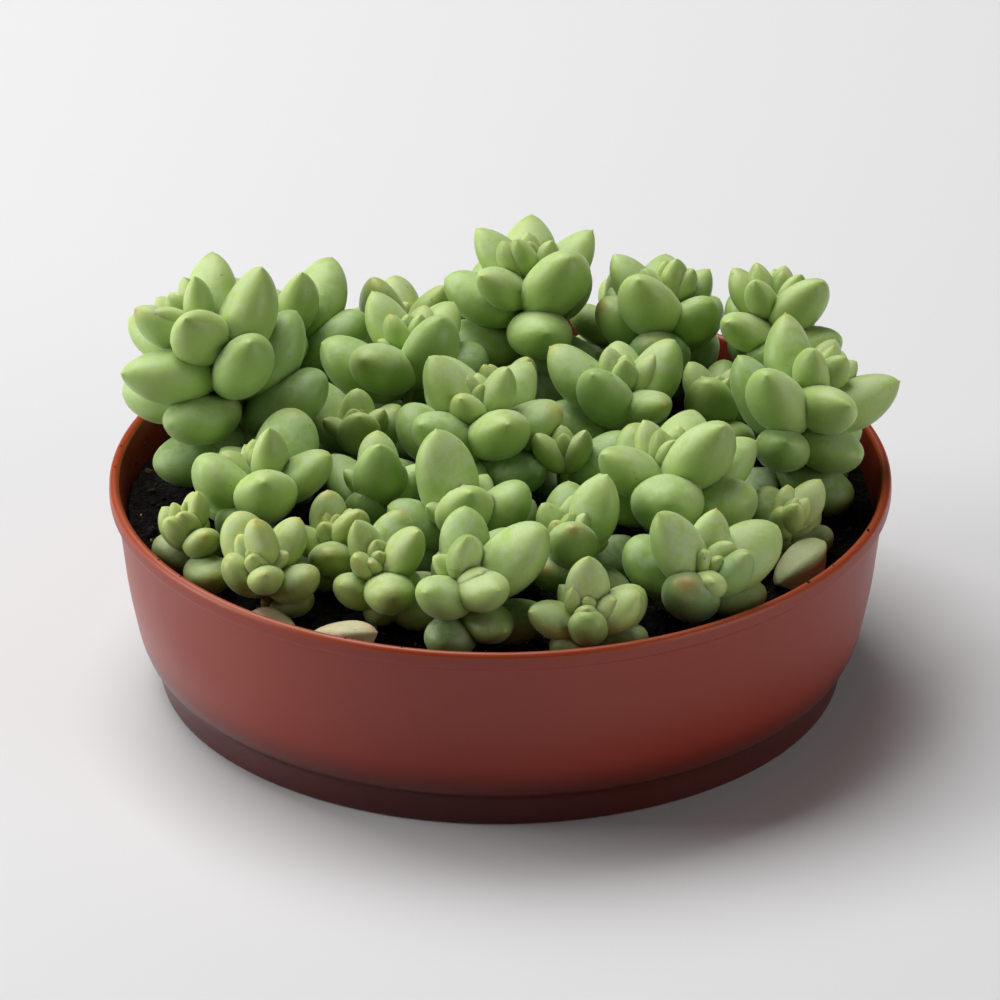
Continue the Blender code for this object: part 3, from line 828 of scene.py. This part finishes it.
def leaf_surface(root, way, length, axis, draw, point, wither=0.0):
    """One fleshy leaf: points, and each point's place along it and towards its upper side."""
    side, top = leaf_frame(way, axis)
    along = LEAF_ALONG[:, None]
    around = LEAF_AROUND[None, :]
    close = CLOSE + POINTED_CLOSE * point
    swell = SWELL + 1.2 * wither
    peak = swell / (swell + close)
    profile = along ** swell * (1 - along) ** close / (peak ** swell * (1 - peak) ** close)
    half = 0.5 * LEAF_WIDTH * length * profile * (1 - SLIMNESS * point)
    press = pressed(along, around, draw)
    if wither:
        press = dried(press, along, around, wither)
    depth = LEAF_DEPTH * np.where(np.sin(around) > 0, UPPER_HALF, LOWER_HALF)
    belly = draw.uniform(*BELLY) + 0.12 * wither
    sway = draw.normal(0, SWAY)
    bend = 4 * along * (1 - along) * length
    across = half * press * np.cos(around) + sway * bend
    through = half * press * np.sin(around) * depth - belly * bend
    spine = root + way * (along * length)[..., None]
    points = spine + side * across[..., None] + top * through[..., None]
    tip = root + way * length * (1.004 + 0.012 * point)
    points = np.concatenate([[root], points.reshape(-1, 3), [tip]])
    place = np.concatenate([[0.0], np.repeat(LEAF_ALONG, LEAF_SIDES), [1.0]])
    flank = np.concatenate([[0.0], np.tile(np.sin(LEAF_AROUND), LEAF_RINGS), [0.2]])
    return points, place, flank


def add_leaf(bunch, surface, **values):
    """Add a leaf's surface to a piece, with what its finish reads."""
    points, place, flank = surface
    bunch.add(points, LEAF_FACES, along=place, flank=flank, **values)


def stem_surface(shoot):
    """The stem as a tube with the faint swellings of its leaf scars: points, faces and places."""
    foot = stem_point(shoot, 0)
    angles = full_turn(STEM_SIDES)
    rings = []
    places = [0.0]
    for ring in range(STEM_RINGS):
        share = ring / (STEM_RINGS - 1)
        along = max(0.0, share * (1 + STEM_START) - STEM_START)
        middle = stem_point(shoot, along)
        if share < STEM_SUNK:
            middle = foot - [0, 0, (HOLE_DEPTH - GAP) * (1 - share / STEM_SUNK)]
        swell = 1 + 0.10 * math.sin(ring * 2.6) - 0.35 * along
        lumps = 1 + 0.05 * np.sin(3 * angles + ring * 1.9)
        rings.append(middle + polar(STEM_RADIUS * 0.96 * swell * lumps, angles))
        places += [along] * STEM_SIDES
    bottom = foot - [0, 0, HOLE_DEPTH - GAP]
    top = stem_point(shoot, 1) + [0, 0, 0.5 * MM]
    return *closed_form(bottom, rings, top), [*places, 1.0]


def bud_rule(shoot):
    """The young leaves that fill the middle of a head: roots, directions, lengths and stem axes."""
    rows = []
    axis = unit(stem_point(shoot, 1) - stem_point(shoot, 0.92))
    for number in range(BUD_LEAVES):
        share = number / (BUD_LEAVES - 1)
        bearing = math.radians(shoot.turn) + (shoot.leaves + number) * GOLDEN_ANGLE
        climb = BUD_CLIMB + (HIGHEST_CLIMB - BUD_CLIMB) * share
        root = stem_point(shoot, 1) - axis * BUD_DEPTH * (1 - share)
        length = shoot.leaf * MM * (BUD_LONGEST - (BUD_LONGEST - BUD_SHORTEST) * share)
        rows.append((root, spiral_way(axis, bearing, climb), length, axis))
    return rows


def make_shoot(shoot, leaves, green, bark, draw):
    """One leafy stem, its leaves in their spiral and a bud of young ones at its head."""
    bunch = Bunch()
    points, faces, places = stem_surface(shoot)
    bunch.add(points, faces, 1, along=places, flank=0.0, age=0.5, chance=0.5, warmth=0.0)
    size = min(1.0, shoot.leaf / FULL_LEAF)
    warmth = np.clip((WARM_BELOW - shoot.leaf) / WARM_RANGE, 0.0, 1.0)
    for number, (_, root, way, length, axis) in enumerate(leaves):
        up = number / (len(leaves) - 1)
        point = np.clip(draw.normal(size * (0.1 + 0.9 * up ** 1.6), 0.16), 0.0, 1.0)
        surface = leaf_surface(root, way, length, axis, draw, point)
        age = np.clip(0.95 - 0.85 * up + draw.normal(0, 0.06), 0, 1)
        add_leaf(bunch, surface, age=age, chance=draw.random(), warmth=warmth)
    for root, way, length, axis in bud_rule(shoot):
        surface = leaf_surface(root, way, length, axis, draw, BUD_POINT)
        add_leaf(bunch, surface, age=BUD_AGE, chance=draw.random(), warmth=warmth)
    piece = bunch.build("shoot" + shoot.name[4:], [green, bark])
    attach(piece, "root")
    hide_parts(shoot.name)


def make_loose_leaf(row, finish, draw):
    """One shed leaf, shrunk and furrowed."""
    name, root, way, length, axis = row
    surface = leaf_surface(root, way, length, axis, draw, SHED_POINT, WITHER)
    bunch = Bunch()
    add_leaf(bunch, surface, fresh=float(length > FRESH_LENGTH))
    piece = bunch.build("shed_" + name[-1], [finish])
    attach(piece, "root")
    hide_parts(name)


def outer_wall():
    """The bowl's outside from its foot up to the lip, as (radius, height)."""
    return [
        (FOOT_RADIUS - 0.5 * MM, 0),
        (FOOT_RADIUS, 0.5 * MM),
        (RIM_RADIUS - 7.3 * MM, POT_HEIGHT - 28.6 * MM),
        (RIM_RADIUS - 6.6 * MM, POT_HEIGHT - 27.8 * MM),
        (RIM_RADIUS - 5.3 * MM, POT_HEIGHT - 26.6 * MM),
        (RIM_RADIUS - 4.4 * MM, POT_HEIGHT - 24.6 * MM),
        (RIM_RADIUS - 3.8 * MM, POT_HEIGHT - 22.0 * MM),
        (RIM_RADIUS - 2.6 * MM, POT_HEIGHT - 16.0 * MM),
        (RIM_RADIUS - 1.8 * MM, POT_HEIGHT - 9.0 * MM),
        (RIM_RADIUS - LIP_OVERHANG, POT_HEIGHT - LIP_HEIGHT),
    ]


def inner_wall():
    """The bowl's inside from its floor up to the lip, as (radius, height)."""
    floor = FLOOR_UNDERSIDE + WALL
    return [
        (FOOT_RADIUS - WALL - 1.0 * MM, floor),
        (FOOT_RADIUS - WALL, floor + 1.0 * MM),
        (RIM_RADIUS - 7.3 * MM - WALL, POT_HEIGHT - 28.2 * MM),
        (RIM_RADIUS - 5.4 * MM - WALL, POT_HEIGHT - 26.2 * MM),
        (RIM_RADIUS - 3.9 * MM - WALL, POT_HEIGHT - 22.0 * MM),
        (RIM_RADIUS - 2.6 * MM - WALL, POT_HEIGHT - 16.0 * MM),
        (RIM_RADIUS - 1.8 * MM - WALL, POT_HEIGHT - 9.0 * MM),
        (INSIDE_RADIUS, POT_HEIGHT - LIP_HEIGHT),
    ]


def lip():
    """The rolled lip, from under its overhang over the top to the inside."""
    middle = RIM_RADIUS - LIP_ROLL
    roll = POT_HEIGHT - LIP_ROLL
    arc = [
        (middle + LIP_ROLL * math.cos(angle), roll + LIP_ROLL * math.sin(angle))
        for angle in np.radians(np.arange(0, 200, 20))
    ]
    return [
        (RIM_RADIUS - LIP_OVERHANG, POT_HEIGHT - LIP_HEIGHT),
        (RIM_RADIUS - 0.35 * MM, POT_HEIGHT - LIP_HEIGHT),
        (RIM_RADIUS, POT_HEIGHT - LIP_HEIGHT + 0.35 * MM),
        *arc,
    ]


def underside():
    """The bowl from the middle of its underside out to its foot, as (radius, height)."""
    ring_inside = FOOT_RADIUS - FOOT_RING
    return [
        (0, 0),
        (CENTRE_DISC, 0),
        (CENTRE_DISC + 0.8 * MM, FLOOR_UNDERSIDE),
        (ring_inside - 0.8 * MM, FLOOR_UNDERSIDE),
        (ring_inside, 0),
    ]


def eased(profile, passes=2, cut=0.22):
    """A profile with its corners cut, again and again, into short curves."""
    line = np.array(profile, float)
    for _ in range(passes):
        step = cut * (line[1:] - line[:-1])
        inner = np.stack([line[:-1] + step, line[1:] - step], axis=1).reshape(-1, 2)
        line = np.concatenate([line[:1], inner, line[-1:]])
    return line


def wall_stray(angle, height):
    """How far the wall strays outward, none at the foot and little at the lip."""
    share = np.clip(height / POT_HEIGHT, 0, 1)
    waves = np.sin(2 * angle + 0.7) + 0.5 * np.sin(3 * angle - 1.1 + 2 * share)
    waves = waves + 0.35 * np.sin(5 * angle + 3 * share)
    return WALL_WOBBLE * waves * share * (1.25 - 0.6 * share)


def turned(profile, sides):
    """A profile that starts and ends on the axis, turned about it: points and faces."""
    angles = full_turn(sides)
    rings = []
    for radius, height in profile[1:-1]:
        rings.append(polar(radius + wall_stray(angles, height), angles, height))
    return closed_form([0, 0, profile[0, 1]], rings, [0, 0, profile[-1, 1]])


def cut_drains(pot):
    """The drain holes in the bowl's floor."""
    bunch = Bunch()
    top = FLOOR_UNDERSIDE + 3 * WALL
    angles = full_turn(DRAIN_SIDES)
    for number in range(DRAIN_HOLES):
        middle = polar(DRAIN_CIRCLE, 2 * math.pi * (number + 0.5) / DRAIN_HOLES)
        rings = [middle + polar(DRAIN_RADIUS, angles, height) for height in (-WALL, top)]
        bunch.add(*closed_form(middle - [0, 0, WALL], rings, middle + [0, 0, top]))
    cutter = bunch.build("drain_cutter", [])
    cut = pot.modifiers.new("drains", "BOOLEAN")
    cut.operation = "DIFFERENCE"
    cut.object = cutter
    bpy.context.view_layer.objects.active = pot
    bpy.ops.object.modifier_apply(modifier=cut.name)
    bpy.data.objects.remove(cutter, do_unlink=True)


def make_pot(finish):
    """The bowl: one profile turned about its axis, with its drain holes cut."""
    inside = [*reversed(inner_wall()), (0, FLOOR_UNDERSIDE + WALL)]
    profile = eased(underside() + outer_wall() + lip() + inside)
    bunch = Bunch()
    bunch.add(*turned(profile, POT_SIDES))
    pot = bunch.build("bowl", [finish])
    cut_drains(pot)
    pot.data.set_sharp_from_angle(angle=math.radians(50))
    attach(pot, "root")
    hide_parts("pot")


def peat_relief(x, y):
    """How far a point of the peat's surface stands over its gentle waves, for its crumbly look."""
    where = Vector((x, y, 0.0))
    coarse = noise.fractal(where * 260, 1.0, 2.0, 3)
    lumps = 0.5 - noise.voronoi(where * 420)[0][0]
    fine = noise.fractal(where * 1300, 1.0, 2.0, 2)
    return (0.42 * coarse + 0.55 * lumps + 0.16 * fine) * MM


def make_soil(finish):
    """The peat's whole body, from the bowl's floor up to its crumbly surface."""
    wall = [(radius - 0.25 * GAP, height) for radius, height in inner_wall()]
    wall = [spot for spot in wall if spot[1] < SOIL_LEVEL - 1.5 * MM]
    wall[0] = (wall[0][0], wall[0][1] + 0.5 * GAP)
    angles = full_turn(SOIL_SIDES)
    rings = [polar(radius + wall_stray(angles, height), angles, height) for radius, height in wall]
    edge = INSIDE_RADIUS - 0.75 * MM + wall_stray(angles, SOIL_LEVEL)
    for ring in range(SOIL_RINGS, 0, -1):
        share = ring / SOIL_RINGS
        spots = polar(share * edge, angles)
        x, y = spots[:, :2].T
        bank = BANK * max(0.0, (share - BANK_FROM) / (1 - BANK_FROM)) ** 2
        spots[:, 2] = soil_height(x, y) + bank + [peat_relief(a, b) for a, b in zip(x, y)]
        rings.append(spots)
    middle = [0, 0, soil_height(0, 0) + peat_relief(0, 0)]
    bunch = Bunch()
    bunch.add(*closed_form([0, 0, wall[0][1]], rings, middle))
    soil = bunch.build("peat_body", [finish])
    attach(soil, "root")
    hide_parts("soil")


def lump(detail):
    """A round lump's points and faces, of unit radius."""
    work = bmesh.new()
    bmesh.ops.create_icosphere(work, subdivisions=detail, radius=1)
    points = np.array([corner.co for corner in work.verts])
    faces = [tuple(corner.index for corner in face.verts) for face in work.faces]
    work.free()
    return points, faces


def rough_lump(shape, middle, size, draw):
    """The lump stretched, dented and turned at random."""
    points = shape * (1 + 0.22 * draw.standard_normal((len(shape), 1)))
    points = points * draw.uniform(0.55, 1.25, 3)
    turn, _ = np.linalg.qr(draw.standard_normal((3, 3)))
    return middle + size * points @ turn


def add_loose_crumbs(bunch, draw):
    """Crumbs all over the peat, the larger ones with a finer form."""
    coarse = lump(2)
    plain = lump(1)
    for _ in range(CRUMBS):
        out = (INSIDE_RADIUS - 1.6 * MM) * math.sqrt(draw.random())
        middle = polar(out, draw.uniform(0, 2 * math.pi))
        size = CRUMB_SIZE * math.exp(draw.normal(0, 0.45))
        points, faces = coarse if size > 0.55 * MM else plain
        x, y = middle[:2]
        middle[2] = soil_height(x, y) + peat_relief(x, y) + 0.35 * size
        tone = draw.random() if size < 0.5 * MM else 0.9 * draw.random()
        bunch.add(rough_lump(points, middle, size, draw), faces, chance=tone)


def add_stuck_crumbs(bunch, draw):
    """Small crumbs that stick to the inside of the wall, and some to the lip."""
    points, faces = lump(1)
    for _ in range(STUCK_CRUMBS):
        angle = draw.uniform(0, 2 * math.pi)
        size = STUCK_SIZE * math.exp(draw.normal(0, 0.35))
        height = draw.uniform(SOIL_LEVEL + 1 * MM, POT_HEIGHT - 1.8 * MM)
        out = INSIDE_RADIUS - 0.4 * size
        if draw.random() < 0.4:
            height = POT_HEIGHT + 0.3 * size
            out = RIM_RADIUS - LIP_ROLL
        middle = polar(out + wall_stray(angle, height), angle, height)
        bunch.add(rough_lump(points, middle, size, draw), faces, chance=0.3 + 0.65 * draw.random())


def make_crumbs(finish, draw):
    """Crumbs of peat on the surface, and a few that stick to the lip and the inner wall."""
    bunch = Bunch()
    add_loose_crumbs(bunch, draw)
    add_stuck_crumbs(bunch, draw)
    crumbs = bunch.build("peat_crumbs", [finish])
    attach(crumbs, "root")


def fibre(draw):
    """One fine root that wanders over the peat and grows thinner: points and faces."""
    out = (INSIDE_RADIUS - 5 * MM) * math.sqrt(draw.random())
    spot = polar(out, draw.uniform(0, 2 * math.pi))
    heading = draw.uniform(0, 2 * math.pi)
    turn = draw.normal(0, 0.16)
    radius = draw.uniform(0.05, 0.13) * MM
    step = draw.uniform(0.25, 0.6) * MM
    angles = full_turn(FIBRE_SIDES)[:, None]
    rings = []
    ends = []
    for number in range(FIBRE_STEPS):
        x, y = spot[:2]
        spot[2] = soil_height(x, y) + 0.5 * peat_relief(x, y) + (0.25 + 0.2 * math.sin(number)) * MM
        heading += turn + draw.normal(0, 0.12)
        ahead = polar(1.0, heading)
        across = np.array([-ahead[1], ahead[0], 0.0])
        thin = radius * (1 - 0.6 * number / FIBRE_STEPS)
        rings.append(spot + thin * (across * np.cos(angles) + UP * np.sin(angles)))
        ends.append((spot - ahead * thin, spot + ahead * thin))
        spot = spot + step * ahead
    return closed_form(ends[0][0], rings, ends[-1][1])


def make_fibres(finish, draw):
    """Fine roots and fibres that wander over the peat."""
    bunch = Bunch()
    for _ in range(FIBRES):
        points, faces = fibre(draw)
        bunch.add(points, faces, chance=draw.random())
    fibres = bunch.build("peat_fibres", [finish])
    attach(fibres, "root")


# Stage


def make_stage():
    """A plain pale floor, far wider than the view."""
    mesh = bpy.data.meshes.new("floor")
    reach = 6.0
    corners = [(-reach, -reach, 0), (reach, -reach, 0), (reach, reach, 0), (-reach, reach, 0)]
    mesh.from_pydata(corners, [], [(0, 1, 2, 3)])
    floor = new_object("floor", mesh)
    shade = Shade("pale_floor")
    shade.set(Base_Color=linear(226, 227, 230), Roughness=0.55, Specular_IOR_Level=0.3)
    mesh.materials.append(shade.material)


def add_area_light(name, spot, size, power, colour):
    """A soft rectangular lamp that faces the middle of the clump."""
    lamp = bpy.data.lights.new(name, "AREA")
    lamp.shape = "RECTANGLE"
    lamp.size, lamp.size_y = size
    lamp.energy = power
    lamp.color = colour
    made = new_object(name, lamp)
    made.location = spot
    made.rotation_euler = (LIT_SPOT - Vector(spot)).to_track_quat("-Z", "Y").to_euler()


def make_lights():
    """Soft daylight from above and behind and from the left, with a weak fill from the right."""
    world = bpy.data.worlds.new("studio")
    bpy.context.scene.world = world
    world.use_nodes = True
    sky = world.node_tree.nodes["Background"]
    sky.inputs["Color"].default_value = (0.92, 0.95, 1.0, 1.0)
    sky.inputs["Strength"].default_value = 0.045
    add_area_light("key", (-0.35, 0.45, 1.05), (0.9, 0.9), 14.3, (1.0, 0.99, 0.965))
    add_area_light("side", (-1.1, 0.05, 0.40), (0.6, 0.8), 8.6, (1.0, 0.985, 0.96))
    add_area_light("fill", (1.15, -0.55, 0.28), (0.8, 0.8), 5.2, (1.0, 0.96, 0.91))


def make_camera():
    """A long lens from the front, looking down at the clump."""
    data = bpy.data.cameras.new("camera")
    data.lens = LENS
    data.sensor_width = SENSOR
    data.clip_start = 0.05
    data.clip_end = 60
    camera = new_object("camera", data)
    back = Vector((0, -math.cos(ELEVATION), math.sin(ELEVATION)))
    camera.location = AIM + back * DISTANCE
    camera.rotation_euler = (-back).to_track_quat("-Z", "Y").to_euler()
    bpy.context.scene.camera = camera


def main():
    """Finishes first, then the pieces in the order in which they draw, then the stage."""
    bpy.context.scene.view_settings.view_transform = "Standard"
    draw = np.random.default_rng(LEAF_SEED + 1)
    green = leaf_finish()
    bark = stem_finish()
    faded = faded_finish()
    leaves = lay_out()
    make_pot(pot_finish())
    make_soil(soil_finish())
    for shoot in SHOOTS:
        make_shoot(shoot, [leaf for leaf in leaves if leaf[0] == shoot.name], green, bark, draw)
    for row in leaves[-len(LOOSE_LEAVES):]:
        make_loose_leaf(row, faded, draw)
    make_crumbs(crumb_finish(), draw)
    make_fibres(fibre_finish(), draw)
    make_stage()
    make_lights()
    make_camera()


main()
